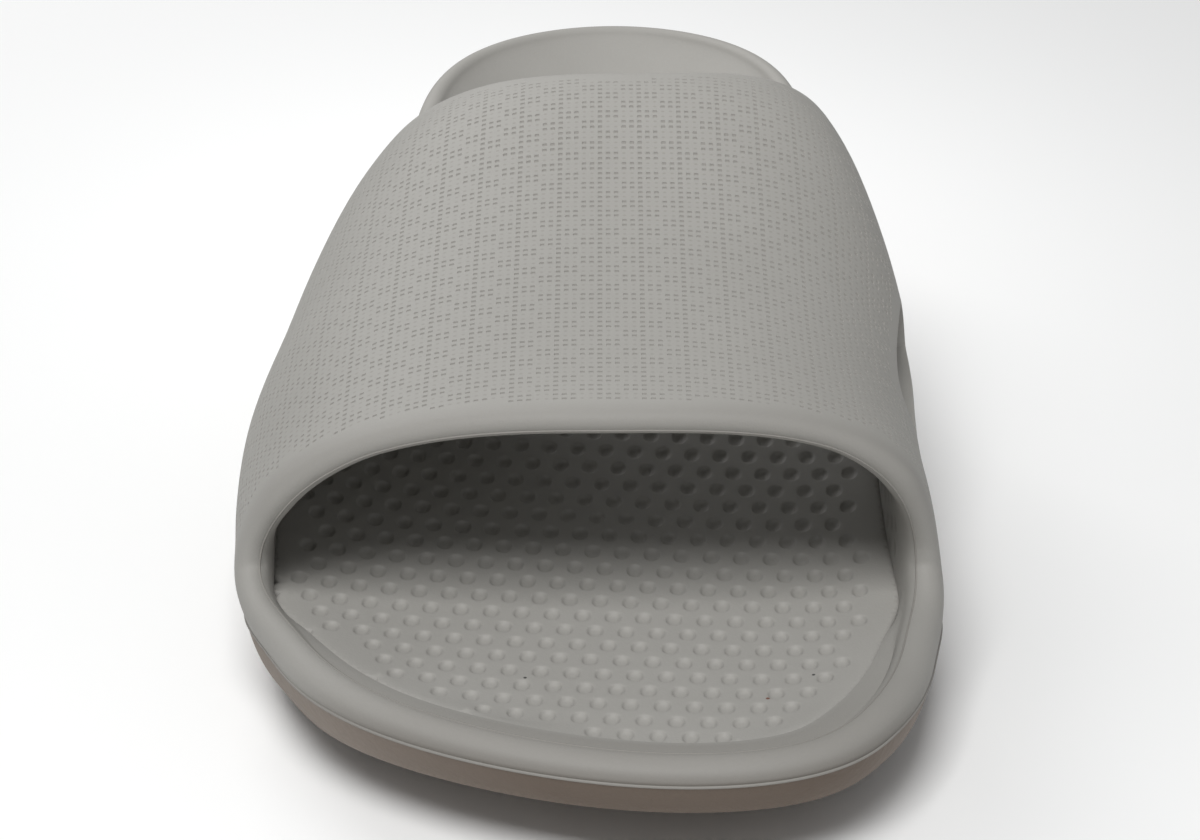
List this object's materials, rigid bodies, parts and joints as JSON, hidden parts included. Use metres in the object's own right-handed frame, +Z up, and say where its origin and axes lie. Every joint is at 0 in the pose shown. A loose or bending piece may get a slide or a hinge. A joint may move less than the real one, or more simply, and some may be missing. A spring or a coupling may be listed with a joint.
{
  "type": "sport slide sandal",
  "caption": "Right slide sandal of moulded foam: a broad perforated strap with an open toe and heel, a rolled rim, a cupped footbed and a lugged sole.",
  "frame": {"origin": "on the ground under the middle of the shoe's box", "axes": "+Y from the toe to the heel, +X towards the big-toe side, +Z up from the ground"},
  "size_m": [0.1176, 0.2848, 0.0785],
  "materials": {
    "upper_foam": "matt light warm grey moulded foam",
    "footbed_foam": "matt light warm grey moulded foam, dimpled",
    "outsole_foam": "matt warm grey foam with a fine rough grain"
  },
  "bodies": {
    "root": {"upper": "upper_foam", "footbed": "footbed_foam", "sole": "outsole_foam"}
  },
  "joints": []
}
